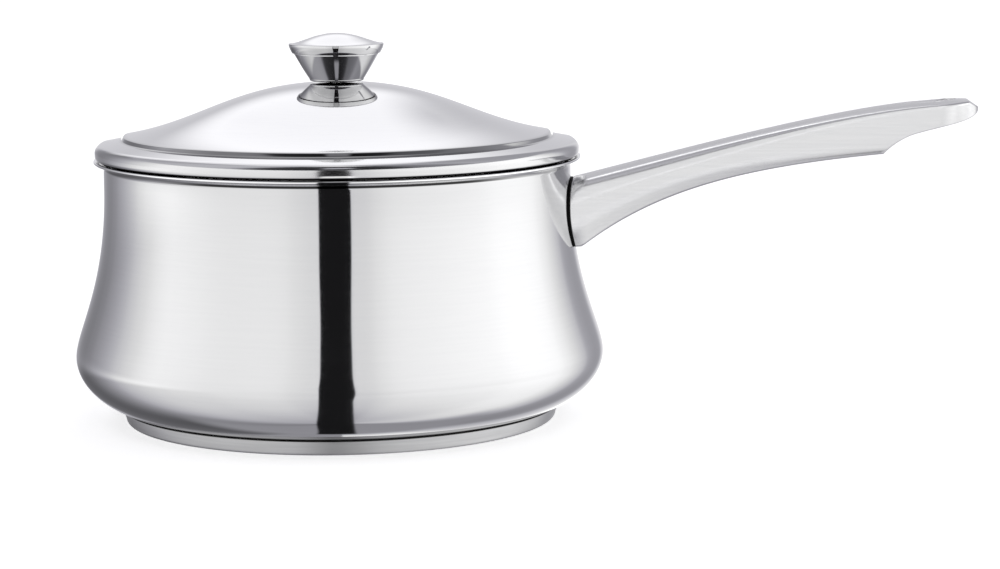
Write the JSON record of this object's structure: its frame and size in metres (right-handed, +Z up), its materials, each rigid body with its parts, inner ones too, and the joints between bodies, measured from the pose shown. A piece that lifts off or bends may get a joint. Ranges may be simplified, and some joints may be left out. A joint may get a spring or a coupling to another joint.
{
  "type": "covered saucepan",
  "caption": "Waisted round saucepan with a thick capsule base, a long rising handle with a hanging hole, and a domed lid with a flared knob that lifts off.",
  "frame": {"origin": "centre of the base's underside, on the pot's axis", "axes": "+Z up along the pot's axis, +X along the handle away from the pot"},
  "size_m": [0.3856, 0.2268, 0.1651],
  "materials": {
    "mirror_steel": "mirror-polished stainless steel",
    "satin_steel": "turned satin stainless steel",
    "handle_steel": "soft-polished stainless steel",
    "fastener_steel": "plain stainless steel",
    "aluminium": "plain",
    "black_rubber": "matt black silicone"
  },
  "bodies": {
    "pan": {"pot_shell": "mirror_steel", "base_capsule": "satin_steel", "base_core": "aluminium", "handle_upper": "handle_steel", "handle_lower": "handle_steel", "handle_gasket": "black_rubber", "handle_bracket": "satin_steel", "handle_screw": "fastener_steel"},
    "lid": {"lid_shell": "mirror_steel", "knob_cup": "mirror_steel", "knob_cap": "mirror_steel", "knob_nut": "fastener_steel", "knob_washer": "fastener_steel", "knob_lock_washer": "fastener_steel", "knob_screw": "fastener_steel"}
  },
  "joints": [
    {"name": "lid_lift", "type": "slide", "parent": "pan", "child": "lid", "axis": [0, 0, 1], "range_m": [0, 0.15]}
  ]
}
